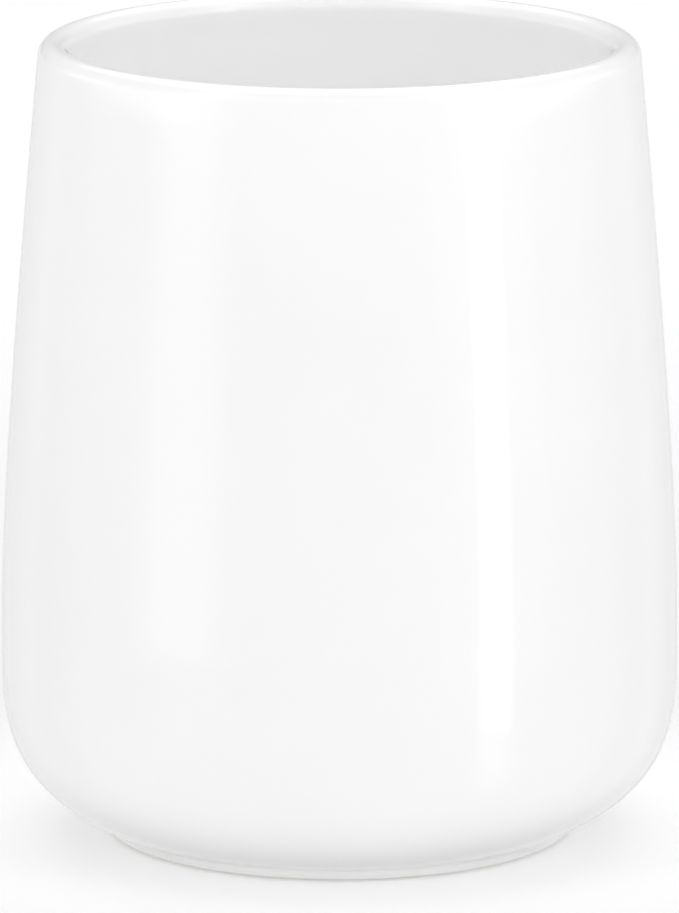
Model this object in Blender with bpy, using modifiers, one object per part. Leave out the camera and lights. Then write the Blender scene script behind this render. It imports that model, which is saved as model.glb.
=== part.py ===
"""Pen holder cup: a turned porcelain cup standing on a soft non-slip pad.

The cup is round about Z, with its origin on the table at the middle of the base.
Lengths are in metres.
"""

from math import cos, pi, radians, sin

import bpy
import numpy as np

# Cup, with heights measured from the underside of its foot ring.
CUP_HEIGHT = 0.100
BELLY_RADIUS = 0.04235      # widest place
BELLY_HEIGHT = 0.0240       # how high the widest place is
RIM_RADIUS = 0.0374         # outside of the rounded lip
LIP_RADIUS = 0.0018
WALL = 2 * LIP_RADIUS
RIM_LEAN = radians(5.35)    # how far the wall leans in at the rim
FLOOR_HEIGHT = 0.0064       # top of the inside floor
FLOOR_RADIUS = 0.0240       # where the inside floor starts to curve up

# How far each curve of the section is pulled along its end directions.
PULL_AT_RIM = 0.0567
PULL_ABOVE_BELLY = 0.0040
PULL_BELOW_BELLY = 0.0076
PULL_AT_SHOULDER = 0.0133
PULL_AT_FLOOR = 0.0100
PULL_ABOVE_FLOOR = 0.0130

# Foot ring, whose outside spreads a little up to the underside of the belly.
SHOULDER_RADIUS = 0.0308    # where the belly ends
SHOULDER_HEIGHT = 0.0018
SHOULDER_SLOPE = radians(24.0)
RING_TOP_RADIUS = 0.0297    # outside of the ring, just under the shoulder
RING_TOP_HEIGHT = 0.0011
FOOT_RADIUS = 0.0291        # outside of the ring, just above the table
FOOT_EDGE = 0.0004          # rounding of the ring's edges
RING_INNER_RADIUS = 0.0252
RECESS_DEPTH = 0.0026
RECESS_FILLET = 0.0010

# Pad, which stands a little proud of the foot ring and carries the cup.
PAD_RADIUS = 0.0230
PAD_PROUD = 0.0002
PAD_GAP = 0.0003            # room above the pad, for its adhesive
PAD_THICKNESS = PAD_PROUD + RECESS_DEPTH - PAD_GAP
PAD_EDGE = 0.0003

TURN_STEPS = 64


def curve(start, start_pull, end_pull, end, count):
    """Points along a cubic curve, without its first one."""
    points = [np.array(p, dtype=float) for p in (start, start_pull, end_pull, end)]
    result = []
    for i in range(1, count + 1):
        t = i / count
        weights = ((1 - t) ** 3, 3 * t * (1 - t) ** 2, 3 * t * t * (1 - t), t ** 3)
        result.append(sum(w * p for w, p in zip(weights, points)))
    return result


def arc(centre, radius, first, last, count):
    """Points along an arc between two angles, both ends included."""
    angles = np.linspace(first, last, count + 1)
    return [np.array((centre[0] + radius * cos(a), centre[1] + radius * sin(a))) for a in angles]


def outer_wall(count):
    """The outside of the wall, from the lip down to the widest place."""
    lip_centre = np.array((RIM_RADIUS - LIP_RADIUS, CUP_HEIGHT - LIP_RADIUS))
    top = lip_centre + LIP_RADIUS * np.array((cos(RIM_LEAN), sin(RIM_LEAN)))
    down = np.array((sin(RIM_LEAN), -cos(RIM_LEAN)))
    belly = np.array((BELLY_RADIUS, BELLY_HEIGHT))
    return [top] + curve(top, top + PULL_AT_RIM * down, belly + (0, PULL_ABOVE_BELLY), belly, count)


def inner_wall(outside):
    """The inside of the wall, one wall thickness in from the outside, from the belly up."""
    points = np.array(outside)
    along = np.gradient(points, axis=0)
    along[0] = (sin(RIM_LEAN), -cos(RIM_LEAN))
    along[-1] = (0, -1)
    along /= np.linalg.norm(along, axis=1)[:, None]
    inward = np.column_stack((along[:, 1], -along[:, 0]))
    return list((points + WALL * inward)[::-1])


def cup_profile():
    """The cup's section, from the middle of the inside floor over the lip to the recess."""
    outside = outer_wall(9)
    inside = inner_wall(outside)

    # Inside floor and the curve up into the wall.
    floor_end = np.array((FLOOR_RADIUS, FLOOR_HEIGHT))
    floor_pull = floor_end + (PULL_AT_FLOOR, 0)
    inside_pull = inside[0] - (0, PULL_ABOVE_FLOOR)
    profile = [np.array((0.0, FLOOR_HEIGHT)), np.array((FLOOR_RADIUS / 2, FLOOR_HEIGHT)), floor_end]
    profile += curve(floor_end, floor_pull, inside_pull, inside[0], 8)

    # Up the inside, over the lip and down the outside.
    lip_centre = (RIM_RADIUS - LIP_RADIUS, CUP_HEIGHT - LIP_RADIUS)
    profile += inside[1:]
    profile += arc(lip_centre, LIP_RADIUS, RIM_LEAN + pi, RIM_LEAN, 8)[1:-1]
    profile += outside

    # Under the belly to the shoulder.
    belly = outside[-1]
    belly_pull = belly - (0, PULL_BELOW_BELLY)
    shoulder = np.array((SHOULDER_RADIUS, SHOULDER_HEIGHT))
    out_and_up = np.array((cos(SHOULDER_SLOPE), sin(SHOULDER_SLOPE)))
    shoulder_pull = shoulder + PULL_AT_SHOULDER * out_and_up
    profile += curve(belly, belly_pull, shoulder_pull, shoulder, 9)

    # Down the outside of the ring, round its two edges, and up into the recess.
    ring_top = np.array((RING_TOP_RADIUS, RING_TOP_HEIGHT))
    crease_in = shoulder - 0.0006 * out_and_up
    crease_out = ring_top + (0.0002, 0.0003)
    profile += curve(shoulder, crease_in, crease_out, ring_top, 3)
    profile += arc((FOOT_RADIUS - FOOT_EDGE, FOOT_EDGE), FOOT_EDGE, 0, -pi / 2, 3)
    profile += arc((RING_INNER_RADIUS + FOOT_EDGE, FOOT_EDGE), FOOT_EDGE, -pi / 2, -pi, 3)
    fillet_centre = (RING_INNER_RADIUS - RECESS_FILLET, RECESS_DEPTH - RECESS_FILLET)
    profile += arc(fillet_centre, RECESS_FILLET, 0, pi / 2, 3)
    profile.append(np.array((0.0, RECESS_DEPTH)))
    return profile


def material(name, colour, roughness):
    mat = bpy.data.materials.new(name)
    mat.use_nodes = True
    shader = mat.node_tree.nodes["Principled BSDF"]
    shader.inputs["Base Color"].default_value = (*colour, 1)
    shader.inputs["Roughness"].default_value = roughness
    shader.inputs["Metallic"].default_value = 0
    return mat


def make_cup(collection):
    profile = cup_profile()
    mesh = bpy.data.meshes.new("cup_body")
    edges = [(i, i + 1) for i in range(len(profile) - 1)]
    mesh.from_pydata([(r, 0, z) for r, z in profile], edges, [])
    cup = bpy.data.objects.new("cup_body", mesh)
    collection.objects.link(cup)
    cup.location = (0, 0, PAD_PROUD)
    screw = cup.modifiers.new("turn", "SCREW")
    screw.axis = "Z"
    screw.steps = TURN_STEPS
    screw.render_steps = TURN_STEPS
    screw.use_merge_vertices = True
    screw.merge_threshold = 0.00001
    screw.use_smooth_shade = True
    mesh.materials.append(material("white glaze", (0.90, 0.90, 0.89), 0.12))
    return cup


def make_pad(collection):
    bpy.ops.mesh.primitive_cylinder_add(
        vertices=TURN_STEPS,
        radius=PAD_RADIUS,
        depth=PAD_THICKNESS,
        location=(0, 0, PAD_THICKNESS / 2),
    )
    pad = bpy.context.object
    pad.name = "base_pad"
    for owner in list(pad.users_collection):
        owner.objects.unlink(pad)
    collection.objects.link(pad)
    rounding = pad.modifiers.new("rounded edges", "BEVEL")
    rounding.width = PAD_EDGE
    rounding.segments = 2
    rounding.limit_method = "ANGLE"
    rounding.angle_limit = radians(60)
    pad.data.materials.append(material("grey silicone", (0.55, 0.55, 0.54), 0.75))
    pad.data.shade_smooth()
    pad.data.set_sharp_from_angle(angle=radians(40))
    return pad


def main():
    for old in list(bpy.data.objects):
        bpy.data.objects.remove(old, do_unlink=True)
    parts = bpy.data.collections.new("pen_holder_cup")
    bpy.context.scene.collection.children.link(parts)
    make_cup(parts)
    make_pad(parts)


main()
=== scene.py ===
"""Pen holder cup in white glazed porcelain, on a pale studio floor. Lengths are in metres."""

from math import cos, pi, radians, sin, tan

import bmesh
import bpy
from mathutils import Matrix, Vector


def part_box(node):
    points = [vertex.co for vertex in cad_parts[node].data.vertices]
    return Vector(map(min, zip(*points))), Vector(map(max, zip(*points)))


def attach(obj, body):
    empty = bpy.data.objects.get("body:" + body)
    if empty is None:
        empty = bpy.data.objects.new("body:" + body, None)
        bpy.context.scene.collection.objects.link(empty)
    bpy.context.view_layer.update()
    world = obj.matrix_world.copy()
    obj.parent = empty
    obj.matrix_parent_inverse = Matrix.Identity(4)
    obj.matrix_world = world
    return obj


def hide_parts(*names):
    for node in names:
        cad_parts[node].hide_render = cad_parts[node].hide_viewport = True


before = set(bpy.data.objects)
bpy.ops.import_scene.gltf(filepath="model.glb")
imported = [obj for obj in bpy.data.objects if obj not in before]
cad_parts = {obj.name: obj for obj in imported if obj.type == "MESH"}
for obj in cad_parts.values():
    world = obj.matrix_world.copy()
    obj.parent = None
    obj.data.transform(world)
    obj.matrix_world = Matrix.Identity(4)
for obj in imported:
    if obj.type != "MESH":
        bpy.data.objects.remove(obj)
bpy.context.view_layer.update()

cup_low, cup_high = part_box("cup_body")
pad_low, pad_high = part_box("base_pad")

# Section of the cup. Heights are measured from the underside of the foot ring.
FOOT_LEVEL = cup_low[2]
CUP_HEIGHT = cup_high[2] - cup_low[2]
BELLY_RADIUS = 0.04235
BELLY_HEIGHT = 0.0240
RIM_RADIUS = 0.0374
LIP_RADIUS = 0.0018
WALL = 2 * LIP_RADIUS
RIM_LEAN = radians(5.35)
FLOOR_HEIGHT = 0.0064
FLOOR_RADIUS = 0.0240
SHOULDER_RADIUS = 0.0308
SHOULDER_HEIGHT = 0.0018
SHOULDER_SLOPE = radians(24.0)
RING_TOP_RADIUS = 0.0297
RING_TOP_HEIGHT = 0.0011
FOOT_RADIUS = 0.0291
FOOT_EDGE = 0.0004
RING_INNER_RADIUS = 0.0252
RECESS_DEPTH = 0.0026
RECESS_FILLET = 0.0010
TURN_STEPS = 256

# How far each curve of the section is pulled along its end directions.
PULL_AT_RIM = 0.0567
PULL_ABOVE_BELLY = 0.004
PULL_BELOW_BELLY = 0.0076
PULL_AT_SHOULDER = 0.0133
PULL_AT_FLOOR = 0.010
PULL_ABOVE_FLOOR = 0.013

# Pad, with rings of shallow grooves underneath.
PAD_RADIUS = pad_high[0]
PAD_TOP = pad_high[2]
PAD_EDGE = 0.0003
PAD_STEPS = 160
GROOVE_MARGIN = 0.0020
GROOVE_PITCH = 0.0020
GROOVE_DEPTH = 0.00025
GROOVE_SECTION = ((0, 0), (0.0003, GROOVE_DEPTH), (0.0006, GROOVE_DEPTH), (0.0009, 0))
INNERMOST_GROOVE = 0.004

# Studio. Azimuth 0 is in front of the cup, towards -Y, and positive is to the right.
CUP_MIDDLE = (cup_low[2] + cup_high[2]) / 2
SOFTBOX_DISTANCE = 0.70
OVERHEAD_HEIGHT = 1.0
FLOOR_HALF_SIDE = 4.0

# Each softbox: its left and right azimuth, its low and high elevation, in degrees, and its radiance.
# Nested boxes add up to one soft-edged light.
SOFTBOXES = (
    ("left softbox, middle", -73, -39, -12.5, 55, 0.34),
    ("left softbox, core", -66, -45, -12, 55, 0.48),
    ("left softbox, heart", -61, -50, -11, 55, 0.45),
    ("right softbox", 46.5, 59, -17, 55, 1.25),
    ("right softbox, glow", 40, 70, -14, 55, 0.06),
    ("right softbox, haze", 33, 74, -14, 55, 0.24),
)

# Radiance of the surround in front, on the left, on the right and behind.
LOW_WALLS = (0.80, 1.52, 1.60, 0.57)
HIGH_WALLS = (1.02, 0.64, 0.72, 0.57)
CEILING = 0.30

CAMERA_PLACE = (0, -1.2, 0.3022)
CAMERA_TILT = radians(90 - 11.99)
CAMERA_LENS = 258.0
CAMERA_SENSOR_HEIGHT = 24.0


# ---------------------------------------------------------------- sections

def curve(start, start_pull, end_pull, end, count):
    """Points along a cubic curve, without its first one."""
    start, start_pull, end_pull, end = (Vector(p) for p in (start, start_pull, end_pull, end))
    points = []
    for i in range(1, count + 1):
        t = i / count
        points.append(
            (1 - t) ** 3 * start
            + 3 * t * (1 - t) ** 2 * start_pull
            + 3 * t * t * (1 - t) * end_pull
            + t ** 3 * end
        )
    return points


def arc(centre, radius, first, last, count):
    """Points along an arc between two angles, both ends included."""
    angles = [first + (last - first) * i / count for i in range(count + 1)]
    return [Vector((centre[0] + radius * cos(a), centre[1] + radius * sin(a))) for a in angles]


def cup_section():
    """From the middle of the inside floor, over the lip and down the outside, to the middle of the recess."""
    lip_centre = Vector((RIM_RADIUS - LIP_RADIUS, CUP_HEIGHT - LIP_RADIUS))
    top = lip_centre + LIP_RADIUS * Vector((cos(RIM_LEAN), sin(RIM_LEAN)))
    down = Vector((sin(RIM_LEAN), -cos(RIM_LEAN)))
    belly = Vector((BELLY_RADIUS, BELLY_HEIGHT))
    above_belly = belly + Vector((0, PULL_ABOVE_BELLY))
    outside = [top] + curve(top, top + PULL_AT_RIM * down, above_belly, belly, 40)

    # The inside wall runs one wall thickness in from the outside.
    inside = []
    for i, point in enumerate(outside):
        along = outside[min(i + 1, len(outside) - 1)] - outside[max(i - 1, 0)]
        if i == 0:
            along = down
        if i == len(outside) - 1:
            along = Vector((0, -1))
        along = along.normalized()
        inside.append(point + WALL * Vector((along.y, -along.x)))
    inside.reverse()

    floor_end = Vector((FLOOR_RADIUS, FLOOR_HEIGHT))
    section = [Vector((FLOOR_RADIUS * i / 8, FLOOR_HEIGHT)) for i in range(9)]
    floor_pull = floor_end + Vector((PULL_AT_FLOOR, 0))
    section += curve(floor_end, floor_pull, inside[0] - Vector((0, PULL_ABOVE_FLOOR)), inside[0], 24)
    section += inside[1:]
    section += arc(lip_centre, LIP_RADIUS, RIM_LEAN + pi, RIM_LEAN, 20)[1:-1]
    section += outside

    shoulder = Vector((SHOULDER_RADIUS, SHOULDER_HEIGHT))
    out_and_up = Vector((cos(SHOULDER_SLOPE), sin(SHOULDER_SLOPE)))
    below_belly = belly - Vector((0, PULL_BELOW_BELLY))
    section += curve(belly, below_belly, shoulder + PULL_AT_SHOULDER * out_and_up, shoulder, 30)

    # A soft crease, down the foot ring, round its two edges, and up into the recess.
    ring_top = Vector((RING_TOP_RADIUS, RING_TOP_HEIGHT))
    crease_in = shoulder - 0.0006 * out_and_up
    crease_out = ring_top + Vector((0.0002, 0.0003))
    section += curve(shoulder, crease_in, crease_out, ring_top, 8)
    section += arc((FOOT_RADIUS - FOOT_EDGE, FOOT_EDGE), FOOT_EDGE, 0, -pi / 2, 6)
    section += arc((RING_INNER_RADIUS + FOOT_EDGE, FOOT_EDGE), FOOT_EDGE, -pi / 2, -pi, 6)
    fillet_centre = (RING_INNER_RADIUS - RECESS_FILLET, RECESS_DEPTH - RECESS_FILLET)
    section += arc(fillet_centre, RECESS_FILLET, 0, pi / 2, 6)
    recess_flat = RING_INNER_RADIUS - RECESS_FILLET
    section += [Vector((recess_flat * (1 - i / 6), RECESS_DEPTH)) for i in range(1, 7)]
    return [Vector((p.x, p.y + FOOT_LEVEL)) for p in section]


def pad_section():
    """Half of the pad: flat on top, a rounded edge, and shallow grip grooves underneath."""
    section = [Vector((PAD_RADIUS * i / 6 * 0.98, PAD_TOP)) for i in range(7)]
    section += arc((PAD_RADIUS - PAD_EDGE, PAD_TOP - PAD_EDGE), PAD_EDGE, pi / 2, 0, 5)
    section += arc((PAD_RADIUS - PAD_EDGE, PAD_EDGE), PAD_EDGE, 0, -pi / 2, 5)
    radius = PAD_RADIUS - GROOVE_MARGIN
    while radius > INNERMOST_GROOVE:
        section += [Vector((radius - offset, height)) for offset, height in GROOVE_SECTION]
        radius -= GROOVE_PITCH
    section.append(Vector((0.0, 0.0)))
    return section


def turned(name, section, steps):
    """A closed piece, turned from its section round Z."""
    bm = bmesh.new()
    ring = [bm.verts.new((p.x, 0, p.y)) for p in section]
    for a, b in zip(ring, ring[1:]):
        bm.edges.new((a, b))
    bmesh.ops.spin(
        bm,
        geom=bm.verts[:] + bm.edges[:],
        cent=(0, 0, 0),
        axis=(0, 0, 1),
        angle=2 * pi,
        steps=steps,
        use_merge=True,
    )
    bmesh.ops.remove_doubles(bm, verts=bm.verts[:], dist=0.000002)
    bmesh.ops.recalc_face_normals(bm, faces=bm.faces[:])
    for face in bm.faces:
        face.smooth = True
    mesh = bpy.data.meshes.new(name)
    bm.to_mesh(mesh)
    bm.free()
    piece = bpy.data.objects.new(name, mesh)
    bpy.context.scene.collection.objects.link(piece)
    return piece


# ---------------------------------------------------------------- finishes

class Finish:
    """A material and its nodes, built from the outside in."""

    def __init__(self, name):
        self.material = bpy.data.materials.new(name)
        self.material.use_nodes = True
        self.nodes = self.material.node_tree.nodes
        self.links = self.material.node_tree.links
        self.shader = self.nodes["Principled BSDF"]
        self.place = self.nodes.new("ShaderNodeTexCoord").outputs["Object"]

    def noise(self, scale, detail=2.0, roughness=0.5, stretch=(1, 1, 1)):
        mapping = self.nodes.new("ShaderNodeMapping")
        mapping.inputs["Scale"].default_value = stretch
        self.links.new(self.place, mapping.inputs["Vector"])
        node = self.nodes.new("ShaderNodeTexNoise")
        node.inputs["Scale"].default_value = scale
        node.inputs["Detail"].default_value = detail
        node.inputs["Roughness"].default_value = roughness
        self.links.new(mapping.outputs["Vector"], node.inputs["Vector"])
        return node.outputs["Fac"]

    def ramp(self, value, low, high, out_low, out_high):
        node = self.nodes.new("ShaderNodeMapRange")
        node.interpolation_type = "SMOOTHSTEP"
        self.links.new(value, node.inputs["Value"])
        node.inputs["From Min"].default_value = low
        node.inputs["From Max"].default_value = high
        node.inputs["To Min"].default_value = out_low
        node.inputs["To Max"].default_value = out_high
        return node.outputs["Result"]

    def mix(self, amount, first, second):
        node = self.nodes.new("ShaderNodeMix")
        node.data_type = "RGBA"
        self.links.new(amount, node.inputs[0])
        for socket, value in ((node.inputs[6], first), (node.inputs[7], second)):
            if isinstance(value, tuple):
                socket.default_value = (*value, 1)
            else:
                self.links.new(value, socket)
        return node.outputs[2]

    def math(self, operation, first, second):
        node = self.nodes.new("ShaderNodeMath")
        node.operation = operation
        for socket, value in zip(node.inputs, (first, second)):
            if isinstance(value, (int, float)):
                socket.default_value = value
            else:
                self.links.new(value, socket)
        return node.outputs[0]

    def height(self):
        node = self.nodes.new("ShaderNodeSeparateXYZ")
        self.links.new(self.place, node.inputs[0])
        return node.outputs["Z"]

    def bump(self, value, strength, distance, under=None):
        node = self.nodes.new("ShaderNodeBump")
        node.inputs["Strength"].default_value = strength
        node.inputs["Distance"].default_value = distance
        self.links.new(value, node.inputs["Height"])
        if under is not None:
            self.links.new(under, node.inputs["Normal"])
        return node.outputs["Normal"]


def porcelain_glaze():
    finish = Finish("white porcelain glaze")
    shader = finish.shader
    level = finish.height()

    # Glaze body, with faint clouding, and thinner, slightly greyer glaze on the lip. Just above the foot the
    # glaze colour is greyer as painted shade, standing in for the shade under the belly.
    clouds = finish.noise(38, 3.0, 0.55)
    cloud_amount = finish.ramp(clouds, 0.35, 0.65, 0, 1)
    glaze = finish.mix(cloud_amount, (0.945, 0.945, 0.945), (0.955, 0.955, 0.955))
    lip_thin = finish.ramp(level, FOOT_LEVEL + CUP_HEIGHT - 0.0012, FOOT_LEVEL + CUP_HEIGHT, 0, 0.5)
    glaze = finish.mix(lip_thin, glaze, (0.930, 0.930, 0.930))
    # Painted shade: the glaze colour darkens towards the foot, where the belly turns under.
    painted_shade_above_foot = finish.ramp(level, FOOT_LEVEL + 0.001, FOOT_LEVEL + 0.012, 1, 0)
    glaze = finish.mix(painted_shade_above_foot, glaze, (0.900, 0.900, 0.900))

    # Bare fired clay on the land of the foot ring, with a slightly uneven glaze line.
    wobble = finish.ramp(finish.noise(260, 2.0), 0.3, 0.7, -0.00006, 0.00006)
    line = finish.math("ADD", level, wobble)
    bare = finish.ramp(line, FOOT_LEVEL + 0.00012, FOOT_LEVEL + 0.00022, 1, 0)
    grain = finish.noise(5200, 2.0, 0.7)
    clay = finish.mix(finish.ramp(grain, 0.35, 0.65, 0, 1), (0.78, 0.77, 0.75), (0.84, 0.83, 0.81))
    finish.links.new(finish.mix(bare, glaze, clay), shader.inputs["Base Color"])

    # A broad soft sheen from the clay under the glaze, and the glaze's own sharp gloss over it.
    body = finish.ramp(finish.noise(900, 3.0, 0.6), 0.3, 0.7, 0.36, 0.42)
    rough = finish.math("ADD", body, finish.math("MULTIPLY", bare, 0.40))
    finish.links.new(rough, shader.inputs["Roughness"])
    shader.inputs["IOR"].default_value = 1.5
    shader.inputs["Specular IOR Level"].default_value = 0.30
    finish.links.new(finish.math("SUBTRACT", 1.0, bare), shader.inputs["Coat Weight"])
    shader.inputs["Coat Roughness"].default_value = 0.06
    shader.inputs["Coat IOR"].default_value = 1.5

    # The glaze is never quite flat: a slow wave, with the clay's grain only where it is bare.
    wave = finish.bump(finish.noise(55, 1.0, 0.4), 0.25, 0.00012)
    skin = finish.bump(finish.math("MULTIPLY", grain, bare), 0.5, 0.00006, wave)
    finish.links.new(skin, shader.inputs["Normal"])
    return finish.material


def silicone():
    finish = Finish("grey silicone")
    shader = finish.shader
    dust = finish.ramp(finish.noise(340, 4.0, 0.65), 0.35, 0.75, 0, 1)
    finish.links.new(finish.mix(dust, (0.52, 0.52, 0.51), (0.57, 0.57, 0.56)), shader.inputs["Base Color"])
    finish.links.new(finish.ramp(finish.noise(1500, 3.0), 0.3, 0.7, 0.55, 0.72), shader.inputs["Roughness"])
    shader.inputs["IOR"].default_value = 1.42
    skin = finish.bump(finish.noise(4200, 2.0, 0.6), 0.4, 0.00003)
    finish.links.new(skin, shader.inputs["Normal"])
    return finish.material


def studio_white():
    finish = Finish("studio white")
    tone = finish.ramp(finish.noise(0.8, 2.0), 0.3, 0.7, 0, 1)
    white = finish.mix(tone, (0.90, 0.90, 0.90), (0.92, 0.92, 0.92))
    finish.links.new(white, finish.shader.inputs["Base Color"])
    finish.shader.inputs["Roughness"].default_value = 0.7
    # The table glows a little close round the foot, so that the shadow on it stays pale.
    # It glows again far away, so that it stays white up to the horizon.
    finish.shader.inputs["Emission Color"].default_value = (1, 1, 1, 1)
    distance = finish.nodes.new("ShaderNodeVectorMath")
    distance.operation = "LENGTH"
    finish.links.new(finish.place, distance.inputs[0])
    away = distance.outputs["Value"]
    near = finish.ramp(away, 0.045, 0.085, 0.127, 0.01)
    glow = finish.math("ADD", near, finish.ramp(away, 0.15, 0.40, 0, 0.07))
    glow = finish.math("ADD", glow, finish.ramp(away, 0.65, 1.60, 0, 0.50))
    finish.links.new(glow, finish.shader.inputs["Emission Strength"])
    return finish.material


# ---------------------------------------------------------------- pieces

cup = turned("porcelain_cup", cup_section(), TURN_STEPS)
cup.data.materials.append(porcelain_glaze())
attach(cup, "root")
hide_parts("cup_body")

pad = turned("grip_pad", pad_section(), PAD_STEPS)
pad.data.materials.append(silicone())
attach(pad, "root")
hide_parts("base_pad")


# ---------------------------------------------------------------- studio

def studio_floor():
    bm = bmesh.new()
    bmesh.ops.create_grid(bm, x_segments=8, y_segments=8, size=FLOOR_HALF_SIDE)
    mesh = bpy.data.meshes.new("studio_floor")
    bm.to_mesh(mesh)
    bm.free()
    floor = bpy.data.objects.new("studio_floor", mesh)
    bpy.context.scene.collection.objects.link(floor)
    floor.data.materials.append(studio_white())
    floor.visible_glossy = False


def softbox(name, left, right, low, high, radiance):
    """An upright light panel beside the cup, its edges at the given angles from the middle of the cup."""
    middle = radians((left + right) / 2)
    bottom, top = (CUP_MIDDLE + SOFTBOX_DISTANCE * tan(radians(e)) for e in (low, high))
    lamp = bpy.data.lights.new(name, "AREA")
    lamp.shape = "RECTANGLE"
    lamp.size = 2 * SOFTBOX_DISTANCE * tan(radians((right - left) / 2))
    lamp.size_y = top - bottom
    lamp.energy = radiance * lamp.size * lamp.size_y * pi
    centre = Vector((SOFTBOX_DISTANCE * sin(middle), -SOFTBOX_DISTANCE * cos(middle), (bottom + top) / 2))
    turn = Matrix.Rotation(middle, 4, "Z") @ Matrix.Rotation(radians(90), 4, "X")
    add_light(lamp, Matrix.Translation(centre) @ turn)


def overhead(name, y, width, depth, radiance):
    """A light panel over the cup, facing down."""
    lamp = bpy.data.lights.new(name, "AREA")
    lamp.shape = "RECTANGLE"
    lamp.size = width
    lamp.size_y = depth
    lamp.energy = radiance * width * depth * pi
    add_light(lamp, Matrix.Translation((0, y, OVERHEAD_HEIGHT)))


def inside_fill(radiance):
    """A small light in the mouth, facing down, so that the inside of the cup doesn't fall dark."""
    lamp = bpy.data.lights.new("inside fill", "AREA")
    lamp.shape = "DISK"
    lamp.size = 2 * (RIM_RADIUS - WALL) - 0.008
    lamp.energy = radiance * pi * (lamp.size / 2) ** 2 * pi
    add_light(lamp, Matrix.Translation((0, 0, cup_high[2] - 2 * LIP_RADIUS))).visible_glossy = False


def add_light(lamp, place):
    box = bpy.data.objects.new(lamp.name, lamp)
    bpy.context.scene.collection.objects.link(box)
    box.matrix_world = place
    box.visible_camera = False
    return box


def studio_surround():
    """White to the camera, but walls, a ceiling and a table to the light and in the glaze."""
    world = bpy.data.worlds.new("studio")
    bpy.context.scene.world = world
    world.use_nodes = True
    nodes = world.node_tree.nodes
    links = world.node_tree.links
    direction = nodes.new("ShaderNodeSeparateXYZ")
    links.new(nodes.new("ShaderNodeTexCoord").outputs["Generated"], direction.inputs[0])

    def ramp(value, low, high, out_low, out_high):
        node = nodes.new("ShaderNodeMapRange")
        node.interpolation_type = "SMOOTHSTEP"
        links.new(value, node.inputs["Value"])
        for socket, number in zip(node.inputs[1:5], (low, high, out_low, out_high)):
            if isinstance(number, (int, float)):
                socket.default_value = number
            else:
                links.new(number, socket)
        return node.outputs["Result"]

    def math(operation, first, second):
        node = nodes.new("ShaderNodeMath")
        node.operation = operation
        for socket, value in zip(node.inputs, (first, second)):
            if isinstance(value, (int, float)):
                socket.default_value = value
            else:
                links.new(value, socket)
        return node.outputs[0]

    height = direction.outputs["Z"]
    azimuth = math("ARCTAN2", direction.outputs["X"], math("MULTIPLY", direction.outputs["Y"], -1))
    away = math("ABSOLUTE", azimuth, 0)

    def around(in_front, on_left, on_right, behind):
        value = ramp(azimuth, radians(-68), radians(-52), on_left, in_front)
        value = ramp(azimuth, radians(52), radians(68), value, on_right)
        return ramp(away, radians(116), radians(134), value, behind)

    # Walls low down and higher up, the ceiling, and the table as the glaze sees it.
    walls = ramp(height, 0.16, 0.28, around(*LOW_WALLS), around(*HIGH_WALLS))
    room = ramp(height, 0.60, 0.80, walls, CEILING)
    table = around(0.43, 0.33, 0.28, ramp(away, radians(140), radians(165), 0.66, 0.80))
    table = ramp(height, -0.85, -0.40, 0.33, table)

    # The right softbox, mirrored in the table and leaning away.
    leaning = math("ADD", azimuth, math("MULTIPLY", math("ADD", height, 0.29), radians(24)))
    left_edge = ramp(leaning, radians(46), radians(47.5), 0, 1)
    right_edge = ramp(leaning, radians(55), radians(63), 1, 0)
    band = math("MULTIPLY", left_edge, right_edge)
    band = math("MULTIPLY", band, ramp(height, -0.74, -0.40, 0, 1))
    band = math("MULTIPLY", band, ramp(height, -0.31, -0.26, 1.0, 0))
    table = math("ADD", table, band)

    surround = nodes["Background"]
    surround.inputs["Color"].default_value = (1, 1, 1, 1)
    links.new(ramp(height, -0.04, 0.02, table, room), surround.inputs["Strength"])
    backdrop = nodes.new("ShaderNodeBackground")
    backdrop.inputs["Color"].default_value = (1, 1, 1, 1)
    choose = nodes.new("ShaderNodeMixShader")
    links.new(nodes.new("ShaderNodeLightPath").outputs["Is Camera Ray"], choose.inputs[0])
    links.new(surround.outputs[0], choose.inputs[1])
    links.new(backdrop.outputs[0], choose.inputs[2])
    links.new(choose.outputs[0], nodes["World Output"].inputs["Surface"])


def studio_light():
    scene = bpy.context.scene
    scene.view_settings.view_transform = "Standard"
    # Light bounces many times inside a white cup.
    scene.cycles.diffuse_bounces = 12
    scene.cycles.max_bounces = 16
    for box in SOFTBOXES:
        softbox(*box)
    overhead("overhead softbox", y=0.6, width=1.4, depth=1.8, radiance=1.08)
    inside_fill(radiance=0.18)


def studio_camera():
    data = bpy.data.cameras.new("camera")
    data.sensor_fit = "VERTICAL"
    data.sensor_height = CAMERA_SENSOR_HEIGHT
    data.lens = CAMERA_LENS
    data.clip_start = 0.05
    data.clip_end = 50
    camera = bpy.data.objects.new("camera", data)
    bpy.context.scene.collection.objects.link(camera)
    camera.location = CAMERA_PLACE
    camera.rotation_euler = (CAMERA_TILT, 0, 0)
    bpy.context.scene.camera = camera


studio_floor()
studio_surround()
studio_light()
studio_camera()
